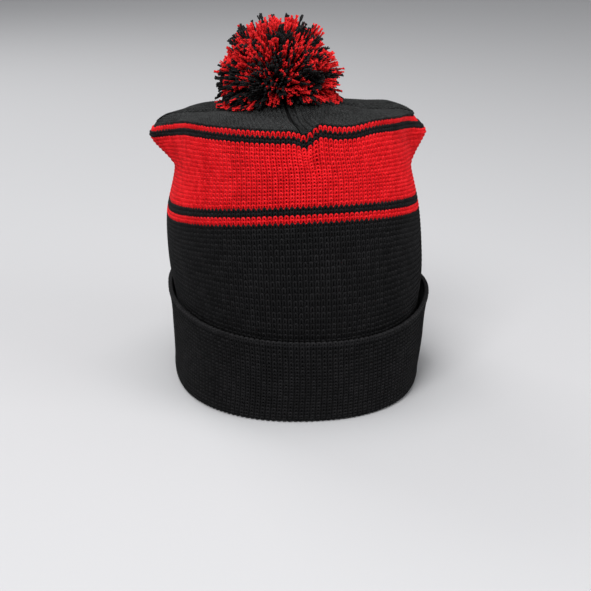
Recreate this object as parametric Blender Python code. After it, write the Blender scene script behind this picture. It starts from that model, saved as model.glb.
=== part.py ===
"""Pom pom beanie: a knitted tube of two layers with a turned-up cuff, colour bands knitted
into the outer layer, a crown of four gores closed by cross seams, and a pom pom of cut yarn
tied through the apex.

Metres, +Z up. The face side is -Y and the back of the head is +Y. The brim's bottom fold lies
in the plane z = 0, and the origin is under the middle of the hat.
"""
import math

import bmesh
import bpy
import numpy as np
from mathutils import Matrix, Vector

# Fabric
LAYER = 0.0016            # thickness of one knitted layer
LAYER_GAP = 0.0004        # space between two layers that lie on each other
BAND_GAP = 0.0003         # space between two colour bands that meet edge to edge
CROWN_GAP = 0.0005        # space between the top stripe and the gores, where the fabric turns over

# Heights of the wall, measured up the side of the hat
HEM_HEIGHT = 0.0575
LOWER_RED_HEIGHT = 0.1112
LOWER_RED_WIDTH = 0.0060
LOWER_BLACK_WIDTH = 0.0032
RED_BAND_WIDTH = 0.0447
UPPER_BLACK_WIDTH = 0.0034
UPPER_RED_WIDTH = 0.0050

# Overall plan sizes of the outer layer
HALF_WIDTH = 0.0835
HALF_DEPTH = 0.1045
SECTION_POWER = 2.25      # 2 is an ellipse, more is squarer

# Horns: the corners that the crown seams push out at the left and right
HORN_REACH = 0.0160
HORN_SPREAD = math.radians(15)
HORN_DROOP = 0.0012       # the horns hang this much below the stripes beside them
LEFT_HORN_HEIGHT = 0.1667
RIGHT_HORN_HEIGHT = 0.1613

# Crown
CROWN_RUN = 0.0900        # fabric length from the top stripe to the apex
APEX_X = 0.0085
APEX_Y = 0.0040
PLATEAU_HEIGHT = 0.1775
PLATEAU_SLOPE = 0.065     # the crown rises this much per metre towards the back
FRONT_FALL = 0.0045       # how much more than that it falls at the very front
HUMP_HEIGHT = 0.0120      # the last rise under the pom pom
HUMP_START = 0.375        # share of the run where that rise starts
HUMP_SKEW = 0.125         # it starts this much later on the left, and sooner on the right
SHOULDER = 0.09           # share of the run in which the crown turns over from the wall
GORE_PUFF = 0.0020
SEAM_WIDTH = 0.0016
TIE_HOLE_RADIUS = 0.0020
GORE_HOLE_RADIUS = 0.0045

# Cuff
HEM_FLARE = 0.0040        # the hem stands off the wall at the wearer's right
HEM_FLARE_SPREAD = math.radians(24)
HEM_ROLL = 0.0026         # height of the rounded edge at the top of the cuff
FOLD_CORNER = 0.0022      # radius of the bottom fold
FOLD_EASE = 0.0002        # how much the cloth gives where it is folded or rolled
FOLD_CUT = 0.3            # where a fold's one middle point lies, as a share of its radius

# Pom pom
POM_RADIUS = 0.0430
POM_HALF_HEIGHT = 0.0335
POM_CENTRE_HEIGHT = 0.0175    # above the pivot at the apex
TUFT_FAN = 0.243          # a tuft's radius at its cut end, as a share of its length
TUFT_ROOT_RADIUS = 0.0026
TUFT_SIDES = 8
CORE_RADIUS = 0.0080
BINDING_RADIUS = 0.0010
TUFT_GAP = 0.0006
TUFT_RINGS = ((-6, 10), (24, 10), (55, 6), (90, 1))    # latitude in degrees, number of tufts

# Tie
CORD_RADIUS = 0.0009
KNOT_RADIUS = 0.0032
KNOT_HEIGHT = 0.0040
PIVOT_LIFT = 0.0006       # the pivot stands this much above the crown
PIVOT_GAP = 0.0004

SEGMENTS = 40             # around the hat, a multiple of four
TIE_SIDES = 12
SAMPLE_RUN = 0.002        # how far apart the fabric is sampled to find its normal
SAMPLE_TURN = 0.03        # the same around the hat, in radians
SAMPLE_END = 0.995        # share of the crown's run past which it is not sampled

LOWER_BLACK_HEIGHT = LOWER_RED_HEIGHT + LOWER_RED_WIDTH
RED_BAND_HEIGHT = LOWER_BLACK_HEIGHT + LOWER_BLACK_WIDTH
UPPER_BLACK_HEIGHT = RED_BAND_HEIGHT + RED_BAND_WIDTH
UPPER_RED_HEIGHT = UPPER_BLACK_HEIGHT + UPPER_BLACK_WIDTH
WALL_HEIGHT = UPPER_RED_HEIGHT + UPPER_RED_WIDTH
MID_BAND = RED_BAND_HEIGHT + RED_BAND_WIDTH / 2

# Up the wall: height, centre x, and half width and half depth as taken off the overall ones
WALL_PLAN = (
    (0.0, -0.0008, -0.0070, -0.0025),
    (HEM_HEIGHT / 2, -0.0020, -0.0047, -0.0033),
    (HEM_HEIGHT, -0.0015, -0.0030, -0.0025),
    (HEM_HEIGHT + 0.017, -0.0010, -0.0004, -0.0005),
    ((HEM_HEIGHT + LOWER_RED_HEIGHT) / 2 + 0.008, 0.0000, 0.0000, 0.0000),
    (LOWER_RED_HEIGHT, 0.0010, -0.0010, -0.0010),
    (MID_BAND, 0.0014, -0.0073, -0.0030),
    (UPPER_BLACK_HEIGHT - 0.008, 0.0030, -0.0085, -0.0050),
    (WALL_HEIGHT, 0.0031, -0.0091, -0.0095),
)
# Up the wall: height, how much the back and the front stand above the sides, and how much the
# left side stands above the middle and the right side below it
WALL_RISE = (
    (0.0, 0.0, 0.0, 0.0),
    (HEM_HEIGHT, -0.0083, 0.0020, 0.0015),
    (LOWER_RED_HEIGHT, 0.0160, -0.0045, -0.0022),
    (RED_BAND_HEIGHT, 0.0158, -0.0055, -0.0020),
    (UPPER_BLACK_HEIGHT, 0.0096, -0.0092, -0.0006),
    (WALL_HEIGHT, 0.0090, -0.0092, -0.0006),
)
# Above and below a horn's tip: height, and share of the horn's reach
HORN_RISE = (
    (-0.024, 0.0),
    (-0.014, 0.45),
    (-0.004, 0.88),
    (0.0, 1.0),
    (0.004, 0.90),
    (0.010, 0.50),
)


def through(stations, column, x):
    """One column of the stations at x, on a smooth curve through them."""
    xs = np.array([row[0] for row in stations])
    ys = np.array([row[column] for row in stations])
    x = np.clip(x, xs[0], xs[-1])
    slopes = np.gradient(ys, xs)
    left = np.clip(np.searchsorted(xs, x, side="right") - 1, 0, len(xs) - 2)
    span = xs[left + 1] - xs[left]
    t = (x - xs[left]) / span
    return (
        (2 * t**3 - 3 * t**2 + 1) * ys[left]
        + (t**3 - 2 * t**2 + t) * span * slopes[left]
        + (3 * t**2 - 2 * t**3) * ys[left + 1]
        + (t**3 - t**2) * span * slopes[left + 1]
    )


def bell(angle, centre, spread):
    """1 at the centre angle, falling to 0 over the spread on both sides."""
    turn = (angle - centre + math.pi) % (2 * math.pi) - math.pi
    return np.exp(-((turn / spread) ** 2))


def wall_point(theta, height):
    """A point of the outer layer's outer face, between the bottom fold and the top stripe."""
    centre = through(WALL_PLAN, 1, height)
    width = HALF_WIDTH + through(WALL_PLAN, 2, height)
    depth = HALF_DEPTH + through(WALL_PLAN, 3, height)
    cos, sin = np.cos(theta), np.sin(theta)
    power = SECTION_POWER
    radius = ((abs(cos) / width) ** power + (abs(sin) / depth) ** power) ** (-1 / power)
    left = through(HORN_RISE, 1, height - LEFT_HORN_HEIGHT) * bell(theta, 0.0, HORN_SPREAD)
    right = through(HORN_RISE, 1, height - RIGHT_HORN_HEIGHT) * bell(theta, math.pi, HORN_SPREAD)
    radius = radius + HORN_REACH * (left + right)
    x, y = radius * cos, radius * sin
    back, front = through(WALL_RISE, 1, height), through(WALL_RISE, 2, height)
    share = y / depth
    rise = share * (back - front) / 2 + share**2 * (back + front) / 2
    rise += through(WALL_RISE, 3, height) * x / width - HORN_DROOP * (left + right)
    return np.stack([x + centre, y, height + rise], axis=-1)


def outer_point(theta, run):
    """A point of the outer layer's outer face, with run measured up the wall and on over the crown."""
    theta, run = np.broadcast_arrays(np.asarray(theta, float), np.asarray(run, float))
    edge = wall_point(theta, np.minimum(run, WALL_HEIGHT))
    t = np.clip((run - WALL_HEIGHT) / CROWN_RUN, 0.0, 1.0)
    x = edge[..., 0] * (1 - t) + APEX_X * t
    y = edge[..., 1] * (1 - t) + APEX_Y * t
    over = 1 - np.exp(-t / SHOULDER)
    start = HUMP_START + HUMP_SKEW * np.cos(theta)
    climb = np.clip((t - start) / (1 - start), 0.0, 1.0)
    hump = HUMP_HEIGHT * climb**2 * (3 - 2 * climb)
    puff = GORE_PUFF * np.sin(2 * theta) ** 2 * 4 * t * (1 - t)
    plateau = PLATEAU_HEIGHT + PLATEAU_SLOPE * y - FRONT_FALL * (np.minimum(y, 0.0) / HALF_DEPTH) ** 2
    z = edge[..., 2] * (1 - over) + plateau * over + hump + puff
    z = np.where(t > 0, z, edge[..., 2])
    return np.stack([x, y, z], axis=-1)


def fabric_point(theta, run, offset):
    """The outer face's point, moved out along the fabric's normal by offset."""
    higher = np.clip(run + SAMPLE_RUN, 0.0, WALL_HEIGHT + CROWN_RUN * SAMPLE_END)
    lower = np.maximum(run - SAMPLE_RUN, 0.0)
    up = outer_point(theta, higher) - outer_point(theta, lower)
    around = outer_point(theta + SAMPLE_TURN, run) - outer_point(theta - SAMPLE_TURN, run)
    normal = np.cross(around, up)
    normal /= np.linalg.norm(normal, axis=-1, keepdims=True)
    return outer_point(theta, run) + normal * np.asarray(offset)[..., None]


def brim_point(theta, height, offset):
    """A point of the cuff: level with the wall's own heights, and pushed straight out by offset."""
    theta, height = np.broadcast_arrays(np.asarray(theta, float), np.asarray(height, float))
    base = wall_point(theta, height)
    around = wall_point(theta + SAMPLE_TURN, height) - wall_point(theta - SAMPLE_TURN, height)
    out = np.stack([around[..., 1], -around[..., 0], np.zeros(theta.shape)], axis=-1)
    out /= np.linalg.norm(out, axis=-1, keepdims=True)
    flare = HEM_FLARE * bell(theta, math.pi, HEM_FLARE_SPREAD) * np.clip(height / HEM_HEIGHT, 0, 1) ** 2
    lean = np.where(np.asarray(offset) > LAYER_GAP / 2, flare, 0.0)
    return base + out * (np.asarray(offset) + lean)[..., None]


def cloth(name, colour, outside, inside, closed_round):
    """A solid between two grids of points, [row along the fabric][column around the hat]."""
    rows, columns = outside.shape[:2]
    bm = bmesh.new()
    outer = [[bm.verts.new(p) for p in row] for row in outside]
    inner = [[bm.verts.new(p) for p in row] for row in inside]
    around = columns if closed_round else columns - 1
    for i in range(rows - 1):
        for j in range(around):
            k = (j + 1) % columns
            bm.faces.new((outer[i][j], outer[i][k], outer[i + 1][k]))
            bm.faces.new((outer[i][j], outer[i + 1][k], outer[i + 1][j]))
            bm.faces.new((inner[i][j], inner[i + 1][k], inner[i][k]))
            bm.faces.new((inner[i][j], inner[i + 1][j], inner[i + 1][k]))
    for j in range(around):
        k = (j + 1) % columns
        bm.faces.new((inner[0][j], inner[0][k], outer[0][k], outer[0][j]))
        bm.faces.new((outer[-1][j], outer[-1][k], inner[-1][k], inner[-1][j]))
    if not closed_round:
        for i in range(rows - 1):
            bm.faces.new((outer[i][0], outer[i + 1][0], inner[i + 1][0], inner[i][0]))
            bm.faces.new((inner[i][-1], inner[i + 1][-1], outer[i + 1][-1], outer[i][-1]))
    finish(name, colour, bm)


def finish(name, colour, bm, smooth_angle=60):
    """Turns a bmesh into a named object with its own material."""
    mesh = bpy.data.meshes.new(name)
    bm.normal_update()
    bm.to_mesh(mesh)
    bm.free()
    mesh.shade_smooth()
    mesh.set_sharp_from_angle(angle=math.radians(smooth_angle))
    thing = bpy.data.objects.new(name, mesh)
    bpy.context.scene.collection.objects.link(thing)
    mesh.materials.append(yarn_material(name, colour))


def yarn_material(name, colour):
    material = bpy.data.materials.new(name)
    material.use_nodes = True
    shader = material.node_tree.nodes["Principled BSDF"]
    shader.inputs["Base Color"].default_value = (*colour, 1.0)
    shader.inputs["Roughness"].default_value = 0.9
    shader.inputs["Metallic"].default_value = 0.0
    return material


RED = (0.72, 0.035, 0.03)
BLACK = (0.022, 0.022, 0.024)
CHARCOAL = (0.035, 0.035, 0.038)

# Shared rows up the fabric, so that layers lie parallel
WALL_ROWS = (
    0.020, 0.040, HEM_HEIGHT, 0.073, 0.090,
    LOWER_RED_HEIGHT, LOWER_BLACK_HEIGHT, RED_BAND_HEIGHT,
    RED_BAND_HEIGHT + RED_BAND_WIDTH / 4, MID_BAND, RED_BAND_HEIGHT + RED_BAND_WIDTH * 3 / 4,
    UPPER_BLACK_HEIGHT, UPPER_RED_HEIGHT, WALL_HEIGHT,
)
CROWN_ROWS = tuple(WALL_HEIGHT + CROWN_RUN * t for t in (0.07, 0.16, 0.32, 0.52, 0.72, 0.88))


def rows_between(low, high):
    """The shared rows from low to high, with both ends."""
    inside = [row for row in WALL_ROWS + CROWN_ROWS if low + 0.002 < row < high - 0.002]
    return np.array([low, *inside, high])


def full_circle():
    return np.arange(SEGMENTS) * 2 * math.pi / SEGMENTS


def band(name, colour, low, high):
    """One colour band of the outer layer, all the way round."""
    rows = rows_between(low + BAND_GAP / 2, high - BAND_GAP / 2)[:, None]
    around = full_circle()[None, :]
    cloth(name, colour, fabric_point(around, rows, 0.0), fabric_point(around, rows, -LAYER), True)


def outer_layer():
    shell_start = FOLD_CORNER + LAYER
    band("shell_lower_black", BLACK, shell_start, LOWER_RED_HEIGHT)
    band("lower_red_stripe", RED, LOWER_RED_HEIGHT, LOWER_BLACK_HEIGHT)
    band("lower_black_stripe", BLACK, LOWER_BLACK_HEIGHT, RED_BAND_HEIGHT)
    band("red_band", RED, RED_BAND_HEIGHT, UPPER_BLACK_HEIGHT)
    band("upper_black_stripe", BLACK, UPPER_BLACK_HEIGHT, UPPER_RED_HEIGHT)
    band("upper_red_stripe", RED, UPPER_RED_HEIGHT, WALL_HEIGHT)


def run_at_radius(radius):
    """Where the crown's fabric is this far from the apex, measured at the back."""
    reach = HALF_DEPTH + WALL_PLAN[-1][3] - APEX_Y
    return WALL_HEIGHT + CROWN_RUN * (1 - radius / reach)


def crown():
    """Four gores, and the seam that closes each pair of them."""
    rows = rows_between(WALL_HEIGHT + CROWN_GAP, run_at_radius(GORE_HOLE_RADIUS))[:, None]
    quarter = SEGMENTS // 4
    for index, name in enumerate(("back_left", "back_right", "front_right", "front_left")):
        edge = seam_angle(rows, SEAM_WIDTH / 2 + BAND_GAP)
        share = np.arange(quarter + 1)[None, :] / quarter
        around = index * math.pi / 2 + edge + share * (math.pi / 2 - 2 * edge)
        outside, inside = fabric_point(around, rows, 0.0), fabric_point(around, rows, -LAYER)
        cloth(f"crown_gore_{name}", CHARCOAL, outside, inside, False)
    for index, name in enumerate(("left", "back", "right", "front")):
        around = index * math.pi / 2 + seam_angle(rows, SEAM_WIDTH / 2) * np.array([-1, 1])[None, :]
        outside, inside = fabric_point(around, rows, 0.0), fabric_point(around, rows, -LAYER)
        cloth(f"crown_seam_{name}", BLACK, outside, inside, False)


def seam_angle(run, distance):
    """The angle at the apex that keeps this distance from a seam, at each run up the fabric."""
    t = (run - WALL_HEIGHT) / CROWN_RUN
    return distance / (HALF_WIDTH * (1 - t))


def brim_cloth(name, colour, outside, inside):
    """A ring of cuff cloth from paired lists of (height, offset) across its thickness."""
    around = full_circle()[None, :]
    grids = []
    for line in (outside, inside):
        heights = np.array([p[0] for p in line])[:, None]
        offsets = np.array([p[1] for p in line])[:, None]
        grids.append(brim_point(around, heights, offsets + 0 * around))
    cloth(name, colour, *grids, True)


def cuff():
    """The turned-up cuff: the outer layer's cloth inside it and the lining's cloth outside it."""
    near, far = LAYER_GAP, LAYER_GAP + LAYER                 # the inner layer's two faces
    inside, outside = far + LAYER_GAP, far + LAYER_GAP + LAYER    # the outer layer's two faces
    floor = LAYER + LAYER_GAP                                # the inner fold stands on the outer one
    wall = [row for row in WALL_ROWS if row < HEM_HEIGHT]
    corner, ease = FOLD_CORNER, FOLD_EASE
    hem = HEM_HEIGHT
    brim_cloth(
        "cuff_inner_layer",
        BLACK,
        [
            (floor, -LAYER),
            (floor, near),
            (floor + FOLD_CUT * corner, far - 1.5 * ease),
            (floor + corner, far),
        ]
        + [(row, far) for row in wall]
        + [(hem - LAYER_GAP, far)],
        [
            (floor + LAYER, -LAYER),
            (floor + LAYER, near / 2),
            (floor + LAYER + ease, near * 0.8),
            (floor + LAYER + 3 * ease, near),
        ]
        + [(row, near) for row in wall]
        + [(hem - LAYER_GAP, near)],
    )
    lining_in = -2 * LAYER - LAYER_GAP
    brim_cloth(
        "cuff_outer_layer",
        BLACK,
        [
            (corner, lining_in),
            (FOLD_CUT * corner, lining_in + FOLD_CUT * corner),
            (0.0, lining_in + corner),
            (0.0, outside - corner),
            (FOLD_CUT * corner, outside - FOLD_CUT * corner),
            (corner, outside),
        ]
        + [(row, outside) for row in wall]
        + [
            (hem - 5 * ease, outside + ease),
            (hem + 0.4 * HEM_ROLL, outside + 3 * ease),
            (hem + 0.85 * HEM_ROLL, outside),
            (hem + HEM_ROLL, (near + outside) / 2),
            (hem + 0.7 * HEM_ROLL, near),
        ],
        [
            (corner, lining_in + LAYER),
            (LAYER + 2 * ease, lining_in + LAYER + ease),
            (LAYER, lining_in + corner),
            (LAYER, outside - corner),
            (LAYER + 1.5 * ease, inside - 0.5 * ease),
            (corner, inside),
        ]
        + [(row, inside) for row in wall]
        + [
            (hem - 5 * ease, inside),
            (hem - 1.5 * ease, inside),
            (hem, inside - 0.5 * ease),
            (hem, (near + inside) / 2),
            (hem, near),
        ],
    )


def lining():
    """The inner layer: a bag from the brim's fold to the tie hole at the apex."""
    start = FOLD_CORNER + BAND_GAP
    rows = rows_between(start, run_at_radius(TIE_HOLE_RADIUS))[:, None]
    around = full_circle()[None, :]
    face = -LAYER - LAYER_GAP
    cloth(
        "lining", BLACK, fabric_point(around, rows, face), fabric_point(around, rows, face - LAYER), True
    )


def turned(name, colour, profile, segments, matrix):
    """A solid of revolution about local Z from a profile of (radius, z) that starts and ends on it."""
    bm = bmesh.new()
    chain = [bm.verts.new((radius, 0.0, z)) for radius, z in profile]
    edges = [bm.edges.new(pair) for pair in zip(chain, chain[1:])]
    bmesh.ops.spin(
        bm,
        geom=chain + edges,
        axis=(0, 0, 1),
        cent=(0, 0, 0),
        angle=2 * math.pi,
        steps=segments,
        use_merge=True,
    )
    bmesh.ops.remove_doubles(bm, verts=bm.verts, dist=1e-6)
    bmesh.ops.recalc_face_normals(bm, faces=bm.faces)
    bm.transform(matrix)
    finish(name, colour, bm)


def apex():
    return Vector(outer_point(0.0, WALL_HEIGHT + CROWN_RUN))


def pivot():
    return apex() + Vector((0.0, 0.0, PIVOT_LIFT))


def dome(radius, height, base, steps):
    """A half ellipse from the rim, (radius, base), to the axis, (0, base + height)."""
    quarter = math.pi / 2
    return [
        (radius * math.cos(quarter * i / steps), base + height * math.sin(quarter * i / steps))
        for i in range(steps + 1)
    ]


def tie():
    """The knot under the crown with its cord through the hole, and the cord above the pivot."""
    roof = -2 * LAYER - LAYER_GAP - PIVOT_GAP
    middle = roof - KNOT_HEIGHT / 2
    below = dome(KNOT_RADIUS, -KNOT_HEIGHT / 2, middle, 3)[::-1]
    above = dome(KNOT_RADIUS, KNOT_HEIGHT / 2, middle, 3)[1:-1]
    top = -PIVOT_GAP
    knot = below + above + [(CORD_RADIUS, roof), (CORD_RADIUS, top), (0.0, top)]
    turned("tie_knot", BLACK, knot, TIE_SIDES, Matrix.Translation(apex()))
    length = POM_CENTRE_HEIGHT - CORE_RADIUS - 2 * BINDING_RADIUS - PIVOT_GAP
    start = [(0.0, PIVOT_GAP), (CORD_RADIUS * 0.7, PIVOT_GAP), (CORD_RADIUS, PIVOT_GAP + CORD_RADIUS)]
    end = dome(CORD_RADIUS, CORD_RADIUS, length - CORD_RADIUS, 3)
    turned("tie_cord", BLACK, start + end, TIE_SIDES, Matrix.Translation(pivot()))


def pom_radius(latitude):
    """Distance from the pom pom's middle to its outside at a latitude."""
    cos, sin = math.cos(latitude) / POM_RADIUS, math.sin(latitude) / POM_HALF_HEIGHT
    return 1 / math.hypot(cos, sin)


def pom():
    """The bound middle of the yarn, its binding, and the fanned tufts of cut yarn around it."""
    centre = pivot() + Vector((0.0, 0.0, POM_CENTRE_HEIGHT))
    place = Matrix.Translation(centre)
    half = dome(CORE_RADIUS, CORE_RADIUS, 0.0, 4)
    lower = [(r, -z) for r, z in half[:0:-1]]
    turned("pom_core", BLACK, lower + half, 14, place)
    binding_ring(place)
    count = {"red": 0, "black": 0}
    root = CORE_RADIUS + 2 * BINDING_RADIUS + 2 * TUFT_GAP
    for ring, (degrees, number) in enumerate(TUFT_RINGS):
        latitude = math.radians(degrees)
        for index in range(number):
            shade = "red" if (index + ring) % 2 == 0 else "black"
            count[shade] += 1
            name = f"pom_tuft_{shade}_{count[shade]:02d}"
            colour = RED if shade == "red" else BLACK
            length = pom_radius(latitude)
            tip = length * TUFT_FAN
            crest = tip * 0.3
            profile = [(0.0, root), (TUFT_ROOT_RADIUS, root)]
            profile += dome(tip, crest, length - crest, 2)
            turn = Matrix.Rotation(2 * math.pi * index / number, 4, "Z")
            lean = Matrix.Rotation(math.pi / 2 - latitude, 4, "Y")
            turned(name, colour, profile, TUFT_SIDES, place @ turn @ lean)


def binding_ring(place):
    """The cord wound round the middle of the yarn."""
    bm = bmesh.new()
    middle = CORE_RADIUS + BINDING_RADIUS + PIVOT_GAP
    bmesh.ops.create_circle(
        bm,
        cap_ends=False,
        radius=BINDING_RADIUS,
        segments=8,
        matrix=Matrix.Translation((middle, 0, 0)) @ Matrix.Rotation(math.pi / 2, 4, "X"),
    )
    bmesh.ops.spin(
        bm,
        geom=bm.verts[:] + bm.edges[:],
        axis=(0, 0, 1),
        cent=(0, 0, 0),
        angle=2 * math.pi,
        steps=16,
        use_merge=True,
    )
    bmesh.ops.remove_doubles(bm, verts=bm.verts, dist=1e-6)
    bmesh.ops.recalc_face_normals(bm, faces=bm.faces)
    bm.transform(place)
    finish("pom_binding", BLACK, bm)


def main():
    for thing in list(bpy.data.objects):
        bpy.data.objects.remove(thing, do_unlink=True)
    outer_layer()
    crown()
    cuff()
    lining()
    tie()
    pom()


main()
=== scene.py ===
"""Looks of the pom pom beanie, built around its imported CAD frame.

The knit is made of its own yarn: each course is one strand looped round the hat, in rings of
stitches, with the cloth's back behind them. The pom pom is made of single cut strands.
Metres, +Z up; the back of the head is +Y and the wearer's left is +X.
"""
import math

import bpy
import numpy as np
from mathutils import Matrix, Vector


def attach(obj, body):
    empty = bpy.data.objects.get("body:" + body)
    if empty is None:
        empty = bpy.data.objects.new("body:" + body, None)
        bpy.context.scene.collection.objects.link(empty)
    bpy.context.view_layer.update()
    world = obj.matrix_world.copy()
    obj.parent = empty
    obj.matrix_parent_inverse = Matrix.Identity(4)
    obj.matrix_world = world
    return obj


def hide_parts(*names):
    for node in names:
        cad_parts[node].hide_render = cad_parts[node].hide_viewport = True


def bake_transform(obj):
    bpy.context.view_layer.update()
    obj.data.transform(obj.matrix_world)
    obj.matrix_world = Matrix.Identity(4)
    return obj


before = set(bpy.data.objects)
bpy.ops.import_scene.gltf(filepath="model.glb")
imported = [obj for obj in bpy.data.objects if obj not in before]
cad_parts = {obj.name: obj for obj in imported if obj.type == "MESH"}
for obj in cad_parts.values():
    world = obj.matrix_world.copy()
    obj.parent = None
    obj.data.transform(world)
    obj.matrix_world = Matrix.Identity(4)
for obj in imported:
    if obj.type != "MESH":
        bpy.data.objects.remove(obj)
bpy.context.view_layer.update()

# The cloth's own sizes, the same as the CAD part's
HEM_HEIGHT = 0.0575
LOWER_RED_HEIGHT = 0.1112
LOWER_BLACK_HEIGHT = LOWER_RED_HEIGHT + 0.0060
RED_BAND_HEIGHT = LOWER_BLACK_HEIGHT + 0.0032
RED_BAND_WIDTH = 0.0447
UPPER_BLACK_HEIGHT = RED_BAND_HEIGHT + RED_BAND_WIDTH
UPPER_RED_HEIGHT = UPPER_BLACK_HEIGHT + 0.0034
WALL_HEIGHT = UPPER_RED_HEIGHT + 0.0050
MID_BAND = RED_BAND_HEIGHT + RED_BAND_WIDTH / 2
# Where the colours change to the eye, since a loop's head reaches past its own course
LOWER_BLACK_EDGE = LOWER_BLACK_HEIGHT - 0.0015
RED_BAND_EDGE = RED_BAND_HEIGHT + 0.0006
UPPER_BLACK_EDGE = UPPER_BLACK_HEIGHT - 0.0009
UPPER_RED_EDGE = UPPER_RED_HEIGHT + 0.0004
CROWN_EDGE = WALL_HEIGHT - 0.0018
HALF_WIDTH, HALF_DEPTH, SECTION_POWER = 0.0835, 0.1045, 2.25
HORN_REACH, HORN_SPREAD, HORN_DROOP = 0.0160, math.radians(15), 0.0012
LEFT_HORN_HEIGHT, RIGHT_HORN_HEIGHT = 0.1667, 0.1613
CROWN_RUN, APEX_X, APEX_Y = 0.0900, 0.0085, 0.0040
PLATEAU_HEIGHT, PLATEAU_SLOPE, FRONT_FALL, HUMP_HEIGHT = 0.1775, 0.065, 0.0045, 0.0120
HUMP_START, HUMP_SKEW = 0.375, 0.125
SHOULDER, GORE_PUFF = 0.09, 0.0020
HEM_FLARE, HEM_FLARE_SPREAD = 0.0040, math.radians(24)

# The knit
WALES = 192               # stitches around the hat
COURSE = 0.00256          # height of one row of stitches
YARN = 0.00060            # radius of the yarn
LOOP = 0.62               # half a loop's height, as a share of its course
REACH = 0.0008            # how far a loop's head stands out from its foot
LOOP_DROP = 0.0008        # the loops' heads lean this much lower than their course
STEPS = 12                # points along the yarn in one stitch
YARN_SIDES = 5
THREAD = 0.00042          # radius of the thread that closes the crown
FACE_LIMIT = 199000       # faces that one piece of knit may hold
SINK = 0.0015             # how deep a course lies in the cloth
BACK_DEPTH = 0.0020       # how deep the cloth behind the stitches lies
CROWN_SHARE = 0.94        # share of the crown's run that is knitted, short of the apex
NORMAL_TURN, NORMAL_RUN = 0.006, 0.0006    # how far apart a surface is sampled to find its normal

# The small folds of the real cloth
PUCKER_BELOW, PUCKER_ABOVE, PUCKER_SPREAD = 0.0019, 0.0022, 1.9
SEAM_RADIUS = 0.088       # distance from the apex to the crown's edge, on average
BACK_VALLEY, FRONT_VALLEY, END_VALLEY_WIDTH = 0.0030, 0.0028, 0.0050
SIDE_VALLEY, SIDE_VALLEY_WIDTH = 0.0040, 0.0080

WALL_PLAN = (
    (0.0, -0.0008, -0.0070, -0.0025),
    (HEM_HEIGHT / 2, -0.0020, -0.0047, -0.0033),
    (HEM_HEIGHT, -0.0015, -0.0030, -0.0025),
    (HEM_HEIGHT + 0.017, -0.0010, -0.0004, -0.0005),
    ((HEM_HEIGHT + LOWER_RED_HEIGHT) / 2 + 0.008, 0.0000, 0.0000, 0.0000),
    (LOWER_RED_HEIGHT, 0.0010, -0.0010, -0.0010),
    (MID_BAND, 0.0014, -0.0073, -0.0030),
    (UPPER_BLACK_HEIGHT - 0.008, 0.0030, -0.0085, -0.0050),
    (WALL_HEIGHT, 0.0031, -0.0091, -0.0095),
)
WALL_RISE = (
    (0.0, 0.0, 0.0, 0.0),
    (HEM_HEIGHT, -0.0083, 0.0020, 0.0015),
    (LOWER_RED_HEIGHT, 0.0160, -0.0045, -0.0022),
    (RED_BAND_HEIGHT, 0.0158, -0.0055, -0.0020),
    (UPPER_BLACK_HEIGHT, 0.0096, -0.0092, -0.0006),
    (WALL_HEIGHT, 0.0090, -0.0092, -0.0006),
)
HORN_RISE = ((-0.024, 0.0), (-0.014, 0.45), (-0.004, 0.88), (0.0, 1.0), (0.004, 0.90), (0.010, 0.50))

# The pinch at the back seam: how far the top stripes stand above their even line, in metres, by
# the angle in degrees from the pinch towards the wearer's right
PINCH = math.radians(91.8)
STRIPE_SHIFT = (
    (-180, 0.0), (-125, 0.0), (-100, -0.0020), (-88, -0.0026), (-80, -0.0012), (-70, 0.0), (-58, 0.0016),
    (-45, 0.0018), (-22, 0.0010), (-10, 0.0002), (-4, -0.0004), (0, -0.0026), (2.4, 0.0006), (4.6, 0.0035),
    (6.5, 0.0032), (9.5, 0.0022), (13, 0.0016), (19, 0.0018), (26, 0.0032), (33, 0.0035), (40, 0.0031),
    (48, 0.0025), (60, 0.0016), (75, 0.0005), (88, 0.0), (100, 0.0030), (115, 0.0045), (135, 0.0030),
    (160, 0.0), (180, 0.0),
)


def through(stations, column, x):
    """One column of the stations at x, on a smooth curve through them."""
    xs = np.array([row[0] for row in stations], float)
    ys = np.array([row[column] for row in stations], float)
    x = np.clip(x, xs[0], xs[-1])
    slopes = np.gradient(ys, xs)
    left = np.clip(np.searchsorted(xs, x, side="right") - 1, 0, len(xs) - 2)
    span = xs[left + 1] - xs[left]
    t = (x - xs[left]) / span
    return (
        (2 * t**3 - 3 * t**2 + 1) * ys[left]
        + (t**3 - 2 * t**2 + t) * span * slopes[left]
        + (3 * t**2 - 2 * t**3) * ys[left + 1]
        + (t**3 - t**2) * span * slopes[left + 1]
    )


def turn_from(angle, centre):
    """The angle from centre, in radians from -pi to pi."""
    return (angle - centre + math.pi) % (2 * math.pi) - math.pi


def bell(x, spread):
    return np.exp(-((x / spread) ** 2))


def ease(x, low, high):
    """0 below low, 1 above high, and smooth between them."""
    t = np.clip((x - low) / (high - low), 0.0, 1.0)
    return t * t * (3 - 2 * t)


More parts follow.
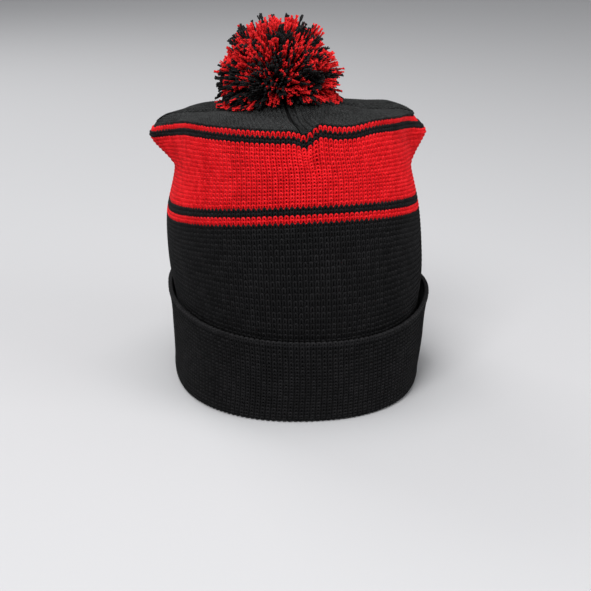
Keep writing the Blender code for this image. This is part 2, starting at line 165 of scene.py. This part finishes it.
def wall_point(theta, height):
    """A point of the outer layer's outer face, as the CAD part has it."""
    centre = through(WALL_PLAN, 1, height)
    width = HALF_WIDTH + through(WALL_PLAN, 2, height)
    depth = HALF_DEPTH + through(WALL_PLAN, 3, height)
    cos, sin = np.cos(theta), np.sin(theta)
    power = SECTION_POWER
    radius = ((abs(cos) / width) ** power + (abs(sin) / depth) ** power) ** (-1 / power)
    left = through(HORN_RISE, 1, height - LEFT_HORN_HEIGHT)
    left = left * bell(turn_from(theta, 0.0), HORN_SPREAD)
    right = through(HORN_RISE, 1, height - RIGHT_HORN_HEIGHT)
    right = right * bell(turn_from(theta, math.pi), HORN_SPREAD)
    radius = radius + HORN_REACH * (left + right)
    x, y = radius * cos, radius * sin
    back, front = through(WALL_RISE, 1, height), through(WALL_RISE, 2, height)
    share = y / depth
    rise = share * (back - front) / 2 + share**2 * (back + front) / 2
    rise += through(WALL_RISE, 3, height) * x / width - HORN_DROOP * (left + right)
    return np.stack([x + centre, y, height + rise], axis=-1)


def outer_point(theta, run):
    """The outer face up the wall and on over the crown, with the small folds of the real cloth."""
    edge = wall_point(theta, np.minimum(run, WALL_HEIGHT))
    t = np.clip((run - WALL_HEIGHT) / CROWN_RUN, 0.0, 1.0)
    away = np.degrees(turn_from(theta, PINCH))
    near_top = ease(run, RED_BAND_HEIGHT + 0.55 * RED_BAND_WIDTH, UPPER_BLACK_HEIGHT)
    near_top *= 1 - ease(t, 0.0, 0.4)
    edge[..., 2] += through(STRIPE_SHIFT, 1, away) * near_top
    pucker = -PUCKER_BELOW * bell(away - 2.6, PUCKER_SPREAD)
    pucker = pucker * ease(run, 0.138, 0.150) * (1 - ease(t, 0.0, 0.1))
    pucker += -PUCKER_ABOVE * bell(away, PUCKER_SPREAD) * ease(run, 0.156, 0.167) * (1 - ease(t, 0.1, 0.5))
    edge[..., 1] += pucker
    x = edge[..., 0] * (1 - t) + APEX_X * t
    y = edge[..., 1] * (1 - t) + APEX_Y * t
    over = 1 - np.exp(-t / SHOULDER)
    hump = HUMP_HEIGHT * ease(t, HUMP_START + HUMP_SKEW * np.cos(theta), 1.0)
    puff = GORE_PUFF * np.sin(2 * theta) ** 2 * 4 * t * (1 - t)
    plateau = PLATEAU_HEIGHT + PLATEAU_SLOPE * y - FRONT_FALL * (np.minimum(y, 0.0) / HALF_DEPTH) ** 2
    z = edge[..., 2] * (1 - over) + plateau * over + hump + puff
    z -= valley(theta, t)
    z = np.where(t > 0, z, edge[..., 2])
    return np.stack([x, y, z], axis=-1)


def valley(theta, t):
    """How deep the crown dips along its four seams."""
    reach = SEAM_RADIUS * (1 - t)
    shallower = 1 - 0.6 * t
    back = bell(turn_from(theta, PINCH) * reach, END_VALLEY_WIDTH) * BACK_VALLEY * shallower
    front = bell(turn_from(theta, -math.pi / 2) * reach, END_VALLEY_WIDTH) * FRONT_VALLEY * shallower
    sides = sum(bell(turn_from(theta, side) * reach, SIDE_VALLEY_WIDTH) for side in (0.0, math.pi))
    return (back + front) * ease(t, 0.0, 0.04) + SIDE_VALLEY * sides * ease(t, 0.10, 0.35)


def with_normal(surface, theta, run, low, high):
    """Points of a surface, and its outward normals."""
    around = surface(theta + NORMAL_TURN, run) - surface(theta - NORMAL_TURN, run)
    above, below = np.minimum(run + NORMAL_RUN, high), np.maximum(run - NORMAL_RUN, low)
    up = surface(theta, above) - surface(theta, below)
    normal = np.cross(around, up)
    normal /= np.linalg.norm(normal, axis=-1, keepdims=True) + 1e-12
    return surface(theta, run), normal


def fabric(theta, run):
    return with_normal(outer_point, theta, run, 0.0, WALL_HEIGHT + CROWN_RUN * 0.97)


# The cuff's outer face: height and distance out from the wall, from inside the bottom fold, out
# and up to the hem and over its rolled edge
CUFF_PROFILE = (
    (0.0050, -0.0036), (0.0022, -0.0036), (0.0007, -0.0030), (0.0, -0.0014), (0.0, 0.0018),
    (0.0007, 0.0034), (0.0024, 0.0040), (0.0120, 0.0040), (0.0300, 0.0040), (HEM_HEIGHT - 0.006, 0.0041),
    (HEM_HEIGHT - 0.001, 0.0044), (HEM_HEIGHT + 0.0012, 0.0047), (HEM_HEIGHT + 0.0024, 0.0041),
    (HEM_HEIGHT + 0.0028, 0.0026), (HEM_HEIGHT + 0.0018, 0.0010),
)
CUFF_STEPS = [math.dist(a, b) for a, b in zip(CUFF_PROFILE, CUFF_PROFILE[1:])]
CUFF_ARC = tuple((sum(CUFF_STEPS[:i]), *point) for i, point in enumerate(CUFF_PROFILE))
CUFF_LENGTH = CUFF_ARC[-1][0]
HEM_ROLL_LENGTH = 0.0052  # the rolled edge at the top of the cuff, along the profile


def cuff_point(theta, run):
    """A point of the cuff's outer face, run being measured along its profile."""
    height, offset = through(CUFF_ARC, 1, run), through(CUFF_ARC, 2, run)
    base = wall_point(theta, height)
    around = wall_point(theta + 0.03, height) - wall_point(theta - 0.03, height)
    out = np.stack([around[..., 1], -around[..., 0], np.zeros(theta.shape)], axis=-1)
    out /= np.linalg.norm(out, axis=-1, keepdims=True)
    flare = HEM_FLARE * bell(turn_from(theta, math.pi), HEM_FLARE_SPREAD)
    flare = flare * np.clip(height / HEM_HEIGHT, 0, 1) ** 2
    lean = np.where(offset > 0, flare, 0.0)
    return base + out * (offset + lean)[..., None]


def cuff_cloth(theta, run):
    return with_normal(cuff_point, theta, run, 0.0, CUFF_LENGTH)


class Cloth:
    """Collects tubes and sheets into one mesh."""

    def __init__(self):
        self.points, self.faces, self.uvs, self.tones, self.count = [], [], [], [], 0

    def add_grid(self, points, uv, tone, wrap_rows, wrap_columns):
        """A grid of points, [row][column], with (u, v) for each and steps that close both ways."""
        rows, columns = points.shape[:2]
        index = np.arange(rows * columns).reshape(rows, columns) + self.count
        i = np.arange(rows if wrap_rows else rows - 1)
        j = np.arange(columns if wrap_columns else columns - 1)
        i, j = np.meshgrid(i, j, indexing="ij")
        i2, j2 = (i + 1) % rows, (j + 1) % columns
        quads = np.stack([index[i, j], index[i2, j], index[i2, j2], index[i, j2]], -1)
        self.faces.append(quads.reshape(-1, 4))
        u, v = uv
        ui, uj = u[i], u[i] + (u[1] - u[0])
        vi, vj = v[j], v[j] + (v[1] - v[0])
        corners = np.stack([np.stack(c, -1) for c in ((ui, vi), (uj, vi), (uj, vj), (ui, vj))], -2)
        self.uvs.append(corners.reshape(-1, 4, 2))
        self.points.append(points.reshape(-1, 3))
        self.tones.append(np.broadcast_to(tone, (rows, columns)).reshape(-1))
        self.count += rows * columns

    def add_tube(self, line, out, radius, sides, tone, closed):
        """A yarn along a line of points, with out pointing away from the cloth at each."""
        if closed:
            tangent = np.roll(line, -1, axis=0) - np.roll(line, 1, axis=0)
        else:
            tangent = np.gradient(line, axis=0)
        tangent /= np.linalg.norm(tangent, axis=-1, keepdims=True) + 1e-12
        side = np.cross(tangent, out)
        side /= np.linalg.norm(side, axis=-1, keepdims=True) + 1e-12
        lift = np.cross(side, tangent)
        angle = np.arange(sides) * 2 * math.pi / sides
        radius = np.broadcast_to(radius, line.shape[:1])[:, None, None]
        ring = np.cos(angle)[None, :, None] * lift[:, None, :]
        ring = ring + np.sin(angle)[None, :, None] * side[:, None, :]
        length = np.linalg.norm(np.diff(line, axis=0), axis=1).mean()
        uv = (np.arange(len(line)) * length * 1000, np.arange(sides) / sides)
        tone = np.broadcast_to(tone, line.shape[:1])[:, None]
        self.add_grid(line[:, None, :] + radius * ring, uv, tone, closed, True)

    def finish(self, name, material, body, nodes, slot):
        faces = np.concatenate(self.faces)
        mesh = bpy.data.meshes.new(name)
        mesh.vertices.add(self.count)
        mesh.vertices.foreach_set("co", np.concatenate(self.points).astype(np.float32).ravel())
        mesh.loops.add(faces.size)
        mesh.loops.foreach_set("vertex_index", faces.astype(np.int32).ravel())
        mesh.polygons.add(len(faces))
        mesh.polygons.foreach_set("loop_start", np.arange(len(faces), dtype=np.int32) * 4)
        layer = mesh.uv_layers.new(name="yarn")
        layer.data.foreach_set("uv", np.concatenate(self.uvs).astype(np.float32).ravel())
        tone = mesh.attributes.new("tone", "FLOAT", "POINT")
        tone.data.foreach_set("value", np.concatenate(self.tones).astype(np.float32))
        mesh.update(calc_edges=True)
        mesh.shade_smooth()
        mesh.materials.append(material)
        piece = bpy.data.objects.new(name, mesh)
        bpy.context.scene.collection.objects.link(piece)
        if body:
            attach(piece, body)
        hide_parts(*nodes)
        return piece


rng = np.random.default_rng(11)


def stitch_path(wales, height, reach):
    """One course flat: how far along in stitches, how far up and how far out, and each stitch's tone: a
    random tone plus painted shade, darker at the loop's feet and lighter on its head.
    """
    t = np.arange(wales * STEPS) * 2 * math.pi / STEPS
    stitch = np.arange(wales * STEPS) // STEPS
    tall = 1 + 0.07 * rng.standard_normal(wales)[stitch]
    along = t / (2 * math.pi) + 0.085 * np.sin(2 * t)
    up = -height * np.cos(t) * tall
    up = up + 0.04 * height * rng.standard_normal(wales)[stitch] * np.sin(t / 2) ** 2
    out = reach * (0.35 - 0.65 * np.cos(t))
    # painted shade: darker where the loop sinks into the cloth, and painted light where its head stands
    # out
    painted_cavity_shade = 0.45 * (out / reach - 0.35)
    return along, up - LOOP_DROP, out, rng.random(wales)[stitch] + painted_cavity_shade


def knit_course(cloth, surface, run, pitch, sides, base=-SINK, tone=0.0):
    """One ring of stitches round the hat."""
    along, up, out, shade = stitch_path(WALES, pitch * LOOP, REACH)
    theta = (along / WALES) * 2 * math.pi
    points, normal = surface(theta, run + up)
    cloth.add_tube(points + normal * (base + out)[:, None], normal, YARN, sides, shade + tone, True)


def backing(cloth, surface, low, high, depth, tone, columns=360, first=0.0, last=2 * math.pi):
    """The cloth behind the stitches."""
    rows = max(2, int(round((high - low) / 0.0026)) + 1)
    run = np.linspace(low, high, rows)[:, None] + np.zeros((1, columns))
    closed = last - first > 6.28
    gaps = columns if closed else columns - 1
    theta = first + np.arange(columns)[None, :] * (last - first) / gaps + 0 * run
    points, normal = surface(theta, run)
    uv = (np.linspace(0, (high - low) * 1000, rows), np.arange(columns) * 0.5)
    cloth.add_grid(points + normal * depth, uv, tone, False, closed)


def knit_band(name, node, surface, low, high, material, slot, sides=6, body="hat", **options):
    """A colour band as pieces of a few courses each, with the cloth's back behind them."""
    courses = max(1, int(round((high - low) / COURSE)))
    pitch = (high - low) / courses
    per_piece = FACE_LIMIT // (WALES * STEPS * sides * 2)
    parts = math.ceil(courses / per_piece)
    for part in range(parts):
        first, last = courses * part // parts, courses * (part + 1) // parts
        cloth = Cloth()
        for i in range(first, last):
            knit_course(cloth, surface, low + (i + 0.5) * pitch, pitch, sides, **options)
        start, end = low + first * pitch - 0.0008, low + last * pitch - 0.0004
        # the cloth's back gets tone -0.35: painted shade in the gaps between the stitches
        backing(cloth, surface, start, end, -BACK_DEPTH, -0.35)
        cloth.finish(f"{name}_{part + 1}" if parts > 1 else name, material, body, [node], slot)


def nodes_of(material):
    tree = material.node_tree
    tree.nodes.clear()
    return tree, lambda kind, **values: _node(tree, kind, values)


def _node(tree, kind, values):
    node = tree.nodes.new("ShaderNode" + kind)
    for key, value in values.items():
        setattr(node, key, value)
    return node


def math_node(tree, operation, a, b=None):
    node = tree.nodes.new("ShaderNodeMath")
    node.operation = operation
    for socket, value in zip(node.inputs, (a, b)):
        if value is None:
            continue
        if isinstance(value, (int, float)):
            socket.default_value = value
        else:
            tree.links.new(value, socket)
    return node.outputs[0]


def yarn_material(name, deep, plain, light, sheen, roughness=0.85, fleck=0.35):
    """Plied yarn with loose fibres and uneven dye, with painted shade deep between the plies and light on
    the fibres.
    """
    material = bpy.data.materials.new(name)
    material.use_nodes = True
    tree, node = nodes_of(material)
    link = tree.links.new
    output, shader = node("OutputMaterial"), node("BsdfPrincipled")
    link(shader.outputs[0], output.inputs[0])
    uv = node("UVMap", uv_map="yarn")
    split = node("SeparateXYZ")
    link(uv.outputs[0], split.inputs[0])
    twist = math_node(tree, "ADD", math_node(tree, "DIVIDE", split.outputs[0], 2.6), split.outputs[1])
    ply = math_node(tree, "SINE", math_node(tree, "MULTIPLY", twist, 4 * math.pi))
    place = node("TexCoord")
    fibres = node("TexNoise")
    fibres.inputs["Scale"].default_value = 2600
    fibres.inputs["Detail"].default_value = 3
    link(place.outputs["Object"], fibres.inputs["Vector"])
    dye = node("TexNoise")
    dye.inputs["Scale"].default_value = 55
    dye.inputs["Detail"].default_value = 2
    link(place.outputs["Object"], dye.inputs["Vector"])
    tone = node("Attribute", attribute_name="tone")
    # how light this spot is: painted shade in the grooves between the plies, flecks of fibre, each
    # stitch's own tone with the painted shade and painted highlights it carries, and slow changes of dye
    spots = math_node(tree, "MULTIPLY", math_node(tree, "SUBTRACT", fibres.outputs["Fac"], 0.5), fleck * 4)
    level = math_node(tree, "ADD", math_node(tree, "MULTIPLY", ply, 0.13), spots)
    level = math_node(tree, "ADD", level, math_node(tree, "MULTIPLY", tone.outputs["Fac"], 0.30))
    level = math_node(tree, "ADD", level, math_node(tree, "MULTIPLY", dye.outputs["Fac"], 0.35))
    level = math_node(tree, "ADD", level, 0.18)
    ramp = node("ValToRGB")
    ramp.color_ramp.elements[0].color = (*deep, 1)
    ramp.color_ramp.elements[1].color = (*light, 1)
    ramp.color_ramp.elements.new(0.5).color = (*plain, 1)
    link(level, ramp.inputs[0])
    link(ramp.outputs[0], shader.inputs["Base Color"])
    shader.inputs["Roughness"].default_value = roughness
    shader.inputs["Specular IOR Level"].default_value = 0.18
    shader.inputs["Sheen Weight"].default_value = sheen
    shader.inputs["Sheen Roughness"].default_value = 0.45
    shader.inputs["Sheen Tint"].default_value = (*[min(1.0, 0.35 + c) for c in light], 1)
    plies = math_node(tree, "MULTIPLY", ply, 0.5)
    height = math_node(tree, "ADD", plies, math_node(tree, "MULTIPLY", fibres.outputs["Fac"], 0.8))
    bump = node("Bump")
    bump.inputs["Strength"].default_value = 0.55
    bump.inputs["Distance"].default_value = 0.00018
    link(height, bump.inputs["Height"])
    link(bump.outputs[0], shader.inputs["Normal"])
    return material


RED_YARN = yarn_material("red_yarn", (0.26, 0.0, 0.001), (0.66, 0.002, 0.006), (0.92, 0.020, 0.028), 0.06)
BLACK_YARN = yarn_material(
    "black_yarn", (0.0010, 0.0010, 0.0012), (0.0038, 0.0038, 0.0043), (0.016, 0.0155, 0.0165), 0.03
)
CHARCOAL_YARN = yarn_material(
    "charcoal_yarn",
    (0.0015, 0.0016, 0.0017),
    (0.0075, 0.0080, 0.0080),
    (0.040, 0.042, 0.042),
    0.03,
    fleck=0.8,
)
# the pom's deep colours are painted shade, taken by the strands near the tie
POM_RED = yarn_material(
    "pom_red_yarn", (0.045, 0.0, 0.001), (0.55, 0.002, 0.005), (0.95, 0.028, 0.030), 0.05
)
POM_BLACK = yarn_material(
    "pom_black_yarn", (0.001, 0.001, 0.0011), (0.0045, 0.0045, 0.005), (0.020, 0.019, 0.020), 0.05
)


def make_wall():
    low = HEM_HEIGHT - 0.0045
    knit_band(
        "lower_black_knit",
        "shell_lower_black",
        fabric,
        low,
        LOWER_RED_HEIGHT,
        BLACK_YARN,
        "knit_black",
        YARN_SIDES,
    )
    hidden = Cloth()
    backing(hidden, fabric, 0.0042, low, -0.0008, 0.3)
    hidden.finish("shell_inside_cuff", BLACK_YARN, "hat", ["shell_lower_black"], "knit_black")
    for name, node, start, end, yarn, slot in (
        ("lower_red_knit", "lower_red_stripe", LOWER_RED_HEIGHT, LOWER_BLACK_EDGE, RED_YARN, "red"),
        ("lower_black_line", "lower_black_stripe", LOWER_BLACK_EDGE, RED_BAND_EDGE, BLACK_YARN, "black"),
        ("red_band_knit", "red_band", RED_BAND_EDGE, UPPER_BLACK_EDGE, RED_YARN, "red"),
        ("upper_black_line", "upper_black_stripe", UPPER_BLACK_EDGE, UPPER_RED_EDGE, BLACK_YARN, "black"),
        ("upper_red_knit", "upper_red_stripe", UPPER_RED_EDGE, CROWN_EDGE, RED_YARN, "red"),
    ):
        knit_band(name, node, fabric, start, end, yarn, f"knit_{slot}")


def make_cuff():
    roll = CUFF_LENGTH - HEM_ROLL_LENGTH
    for name, start, end, base, tone in (
        ("cuff_knit", 0.0010, roll, -0.0016, 0.0),
        # the rolled hem gets tone 1.0: a painted highlight where it catches light from above
        ("hem_roll", roll, CUFF_LENGTH, -0.0014, 1.0),
    ):
        options = {"base": base, "tone": tone}
        node, slot = "cuff_outer_layer", "knit_black"
        knit_band(name, node, cuff_cloth, start, end, BLACK_YARN, slot, YARN_SIDES, **options)
    inner = Cloth()
    for depth in (-0.0024, -0.0034):
        backing(inner, cuff_cloth, 0.0085, CUFF_LENGTH - 0.0090, depth, 0.3)
    inner.finish("cuff_inner_cloth", BLACK_YARN, "hat", ["cuff_inner_layer"], "knit_black")


def make_crown():
    """Four gores, each of straight wales that end at its seams, and the seams."""
    length = CROWN_RUN * CROWN_SHARE + WALL_HEIGHT - CROWN_EDGE
    courses = int(round(length / COURSE))
    quarter = math.pi / 2
    for index, name in enumerate(("back_left", "back_right", "front_right", "front_left")):
        cloth = Cloth()
        middle = (index + 0.5) * quarter
        for i in range(courses):
            run = CROWN_EDGE + (i + 0.5) * length / courses
            share = min(1.0, 1 - (run - WALL_HEIGHT) / CROWN_RUN)
            wales = max(3, 2 * int(WALES / 8 * share))
            along, up, out, shade = stitch_path(wales, COURSE * LOOP, REACH)
            half = quarter / 2 * (1 - 0.012 / max(share, 0.05))
            theta = middle + (along / wales - 0.5) * 2 * half
            points, normal = fabric(theta, run + up)
            cloth.add_tube(points + normal * (out - SINK)[:, None], normal, YARN, YARN_SIDES, shade, False)
        sides = middle - quarter / 2, middle + quarter / 2
        # the cloth's back behind the gores gets tone -0.9: painted shade in the gaps between the stitches
        backing(cloth, fabric, CROWN_EDGE, CROWN_EDGE + length, -0.0022, -0.9, 60, *sides)
        cloth.finish(f"gore_{name}_knit", CHARCOAL_YARN, "hat", [f"crown_gore_{name}"], "knit_charcoal")
    for index, name in enumerate(("left", "back", "right", "front")):
        cloth = Cloth()
        angle = PINCH if name == "back" else index * quarter
        t = np.arange(0, 40 * 6) / 6
        run = WALL_HEIGHT + 0.001 + t / 40 * CROWN_RUN * 0.9
        share = 1 - (run - WALL_HEIGHT) / CROWN_RUN
        for side in (-1, 1):
            theta = angle + side * 0.0006 * np.sin(2 * math.pi * t) / (0.085 * share) + 0 * run
            points, normal = fabric(theta, run)
            lift = -0.0002 + side * 0.0003 * np.cos(2 * math.pi * t)
            cloth.add_tube(points + normal * lift[:, None], normal, THREAD, YARN_SIDES, 0.2, False)
        cloth.finish(f"seam_{name}_thread", CHARCOAL_YARN, "hat", [f"crown_seam_{name}"], "thread_black")


def lining_point(theta, run):
    points, normal = fabric(theta, run)
    wale = np.cos(theta * WALES)
    row = np.cos(run / COURSE * 2 * math.pi)
    return points - normal * (0.0032 + 0.0004 * wale * (1 - 0.5 * row))[..., None]


def make_lining():
    cloth = Cloth()
    columns, low, high = 540, 0.0030, WALL_HEIGHT + CROWN_RUN * 0.96
    rows = int((high - low) / 0.0018)
    run = np.linspace(low, high, rows)[:, None] + np.zeros((1, columns))
    theta = np.arange(columns)[None, :] * 2 * math.pi / columns + 0 * run
    uv = (np.linspace(0, (high - low) * 1000, rows), np.arange(columns) * 0.33)
    cloth.add_grid(lining_point(theta, run), uv, 0.2, False, True)
    cloth.finish("lining_knit", BLACK_YARN, "hat", ["lining"], "knit_black")


APEX = Vector(outer_point(np.array(0.0), np.array(WALL_HEIGHT + CROWN_RUN)))
POM_ROOT = APEX + Vector((0.0012, 0, 0.0070))
POM_HALF_WIDTH, POM_TOP = 0.0390, 0.0490     # from the root to the cut ends, sideways and straight up
POM_POWER = 2.2           # 2 is a round dome, more has fuller shoulders
BUNDLES = 540             # directions in which strands lie together
BUNDLE_SPREAD = math.radians(3.4)
STRAND_PITCH = 0.0125     # length in which a strand's two plies turn once round each other
PLY = 0.00050             # radius of one ply


def crown_height(x, y):
    """Roughly how high the crown's outer face is at a place near the apex."""
    away = np.hypot((x - APEX_X) / 0.074, (y - APEX_Y) / 0.091)
    side = (x - APEX_X) / (np.hypot(x - APEX_X, y - APEX_Y) + 1e-9)
    hump = HUMP_HEIGHT * ease(1 - away, HUMP_START + HUMP_SKEW * side, 1.0)
    fall = FRONT_FALL * (np.minimum(y, 0.0) / HALF_DEPTH) ** 2
    return PLATEAU_HEIGHT + PLATEAU_SLOPE * y - fall + hump + 0.0014


def strand_line(azimuth, elevation, reach, bend):
    """The middle line of one strand: out from the tie, bowed a little, and no lower than the crown."""
    level = math.cos(elevation)
    aim = np.array([math.cos(azimuth) * level, math.sin(azimuth) * level, math.sin(elevation)])
    s = np.linspace(0.42, 1.0, 11)
    line = np.array(POM_ROOT) + aim * reach * s[:, None] + bend * s[:, None] ** 2
    low = 1 - ease(elevation, math.radians(-8), math.radians(22))
    line[:, 2] += level * (0.0030 * np.sin(math.pi * s) - (0.0005 + 0.0075 * low) * s**3)
    floor = crown_height(line[:, 0], line[:, 1]) + PLY * (1.6 + 2.5 * rng.random())
    line[:, 2] = np.maximum(line[:, 2], floor)
    return line, aim


def add_strand(cloth, line, aim):
    """Two plies twisted together, which part at the cut end."""
    across = np.cross(aim, [0.31, 0.22, 0.93])
    across /= np.linalg.norm(across)
    over = np.cross(aim, across)
    length = np.concatenate([[0.0], np.cumsum(np.linalg.norm(np.diff(line, axis=0), axis=1))])
    shade, start = rng.uniform(0, 1), rng.uniform(0, 2 * math.pi)
    size = rng.uniform(0.88, 1.12) * np.array([0.9, 1, 1, 1, 1, 1, 1, 1, 1.02, 1.06, 1.10])
    apart = PLY * 0.75 * np.array([1, 1, 1, 1, 1, 1, 1, 1.02, 1.08, 1.25, 1.65])
    # painted shade: each strand darker towards the tie, deep among the others, and lighter towards its cut
    # end, where the end cap gets painted light (shade + 0.9)
    tone = shade + np.array([-2.6, -2.3, -1.9, -1.5, -1.1, -0.8, -0.5, -0.2, 0.1, 0.4, 0.7])
    for ply in (0.0, math.pi):
        angle = length / STRAND_PITCH * 2 * math.pi + start + ply
        out = np.cos(angle)[:, None] * across + np.sin(angle)[:, None] * over
        middle = line + out * apart[:, None]
        end = middle[-1] + (middle[-1] - middle[-2]) * 0.12
        middle, out = np.vstack([middle, end]), np.vstack([out, out[-1]])
        radius = np.append(PLY * size, 0.00008)
        cloth.add_tube(middle, out, radius, YARN_SIDES, np.append(tone, shade + 0.9), False)


def make_pom():
    """Bundles of cut strands that fan from the tie, red or black, the lowest lying on the crown."""
    groups = {}
    golden = math.pi * (3 - math.sqrt(5))
    total = int(BUNDLES * 1.6)
    for k in range(total):
        height = np.clip(1 - 2 * (k + 0.5) / total + rng.normal(0, 0.02), -0.999, 0.999)
        azimuth, elevation = k * golden + rng.normal(0, 0.06), math.asin(height)
        lowest = math.radians(-16 + 17 * bell(turn_from(azimuth, math.radians(92)), math.radians(30)))
        if elevation < lowest:
            continue
        level = math.cos(elevation)
        wide, tall = level / POM_HALF_WIDTH, abs(height) / POM_TOP
        reach = (wide**POM_POWER + tall**POM_POWER) ** (-1 / POM_POWER)
        reach *= rng.triangular(0.84, 1.0, 1.03)
        bend = rng.uniform(-1, 1, 3) * 0.0038
        bend[2] += 0.0100 * level * bell(turn_from(azimuth, math.radians(92)), math.radians(50))
        red = rng.random() < 0.48
        if elevation > math.radians(12):
            side = "top_left" if math.cos(azimuth) > 0 else "top_right"
        elif elevation < math.radians(4):
            side = "lowest"
        elif abs(math.cos(azimuth)) > 0.6:
            side = "sides"
        else:
            side = "ends"
        cloth = groups.setdefault((red, side), Cloth())
        for _ in range(rng.integers(5, 9)):
            turn = azimuth + rng.normal(0, BUNDLE_SPREAD) / max(level, 0.2)
            rise = elevation + rng.normal(0, BUNDLE_SPREAD)
            own = bend + rng.standard_normal(3) * 0.0010
            add_strand(cloth, *strand_line(turn, rise, reach * rng.uniform(0.90, 1.04), own))
    tufts = [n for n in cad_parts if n.startswith("pom_tuft")]
    # the lowest strands lie on the crown; the lowest, side and end groups are left unattached with their
    # places baked in, and only the top groups go with the pom
    rises = {"lowest": ("hat", "tie_knot"), "sides": ("tie_knot", "tie"), "ends": ("tie", "pom")}
    for (red, side), cloth in groups.items():
        shade = "red" if red else "black"
        piece = cloth.finish(
            f"pom_{shade}_strands_{side}",
            POM_RED if red else POM_BLACK,
            None if side in rises else "pom",
            [n for n in tufts if shade in n],
            f"pom_yarn_{shade}",
        )
        if side in rises:
            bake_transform(piece)


def ball(cloth, centre, radius, tone):
    """A wound ball: one yarn going round and round from pole to pole."""
    turns = 11
    t = np.linspace(0.02, 0.98, turns * 18)
    polar, azimuth = math.pi * t, 2 * math.pi * turns * t
    out = np.stack([np.sin(polar) * np.cos(azimuth), np.sin(polar) * np.sin(azimuth), np.cos(polar)], -1)
    yarn = radius * math.pi / turns * 0.62
    cloth.add_tube(np.array(centre) + out * (radius - yarn), out, yarn, 6, tone, False)


def make_tie():
    """The knot with its stem, the cord above the pivot, the bound middle and its binding."""
    centre = APEX + Vector((0, 0, 0.0181))
    core = Cloth()
    ball(core, centre, 0.0078, 0.2)
    core.finish("pom_bound_middle", POM_BLACK, "pom", ["pom_core"], "pom_yarn_black")
    binding = Cloth()
    t = np.linspace(0, 1, 120)
    around = 2 * math.pi * 3 * t
    out = np.stack([np.cos(around), np.sin(around), 0 * around], -1)
    line = np.array(centre) + out * 0.0090 + np.array([0, 0, 1.0]) * ((t - 0.5) * 0.0024)[:, None]
    binding.add_tube(line, out, 0.0006, 6, 0.4, False)
    binding.finish("pom_binding_cord", BLACK_YARN, "pom", ["pom_binding"], "thread_black")
    for name, low, high, body, node in (
        ("tie_stem", -0.0046, -0.0004, "tie_knot", "tie_knot"),
        ("tie_cord_plies", 0.0010, 0.0086, "tie", "tie_cord"),
    ):
        cloth = Cloth()
        z = np.linspace(low, high, 30)
        for ply in (0, math.pi):
            angle = z / 0.0040 * 2 * math.pi + ply
            out = np.stack([np.cos(angle), np.sin(angle), 0 * angle], -1)
            line = np.array(APEX) + out * 0.00042 + np.array([0, 0, 1.0]) * z[:, None]
            cloth.add_tube(line, out, 0.00046, 6, 0.5, False)
        if body == "tie_knot":
            t = np.arange(90) * 2 * math.pi / 90
            east, north = np.sin(t) + 2 * np.sin(2 * t), np.cos(t) - 2 * np.cos(2 * t)
            knot = np.stack([east, north, -1.6 * np.sin(3 * t)], -1) * 0.00075
            cloth.add_tube(np.array(APEX) + knot + np.array([0, 0, -0.0060]), knot, 0.0007, 6, 0.5, True)
        cloth.finish(name, BLACK_YARN, body, [node], "thread_black")


def make_stage():
    """A pale floor, soft light and the camera."""
    material = bpy.data.materials.new("floor_pale")
    material.use_nodes = True
    shader = material.node_tree.nodes["Principled BSDF"]
    shader.inputs["Base Color"].default_value = (0.50, 0.50, 0.51, 1)
    shader.inputs["Roughness"].default_value = 0.9
    bpy.ops.mesh.primitive_plane_add(size=16)
    floor = bpy.context.object
    floor.name = "floor"
    floor.data.materials.append(material)
    world = bpy.data.worlds.new("studio")
    bpy.context.scene.world = world
    world.use_nodes = True
    world.node_tree.nodes["Background"].inputs[0].default_value = (0.75, 0.76, 0.78, 1)
    world.node_tree.nodes["Background"].inputs[1].default_value = 0.45
    for name, place, size, power in (
        ("key", (0.50, 1.30, 1.55), 0.8, 26),
        ("fill", (-1.40, 1.00, 0.80), 1.2, 11),
        ("top", (0.1, 0.10, 1.70), 0.9, 15),
        ("rim", (0.70, -1.30, 1.10), 0.8, 9),
    ):
        light = bpy.data.lights.new(name, "AREA")
        light.size, light.energy = size, power
        lamp = bpy.data.objects.new(name, light)
        lamp.location = place
        lamp.rotation_euler = (Vector((0, 0, 0.12)) - Vector(place)).to_track_quat("-Z", "Y").to_euler()
        bpy.context.scene.collection.objects.link(lamp)
    camera = bpy.data.objects.new("camera", bpy.data.cameras.new("camera"))
    bpy.context.scene.collection.objects.link(camera)
    azimuth = math.radians(175)
    aim = Vector((-0.0015, 0.0, 0.05))
    place = Vector((aim.x + 1.037 * math.sin(azimuth), -1.037 * math.cos(azimuth), 0.367))
    camera.location = place
    camera.rotation_euler = (aim - place).to_track_quat("-Z", "Y").to_euler()
    camera.data.lens = 98.3
    bpy.context.scene.camera = camera
    bpy.context.scene.view_settings.view_transform = "Standard"


make_wall()
make_cuff()
make_crown()
make_lining()
make_pom()
make_tie()
make_stage()
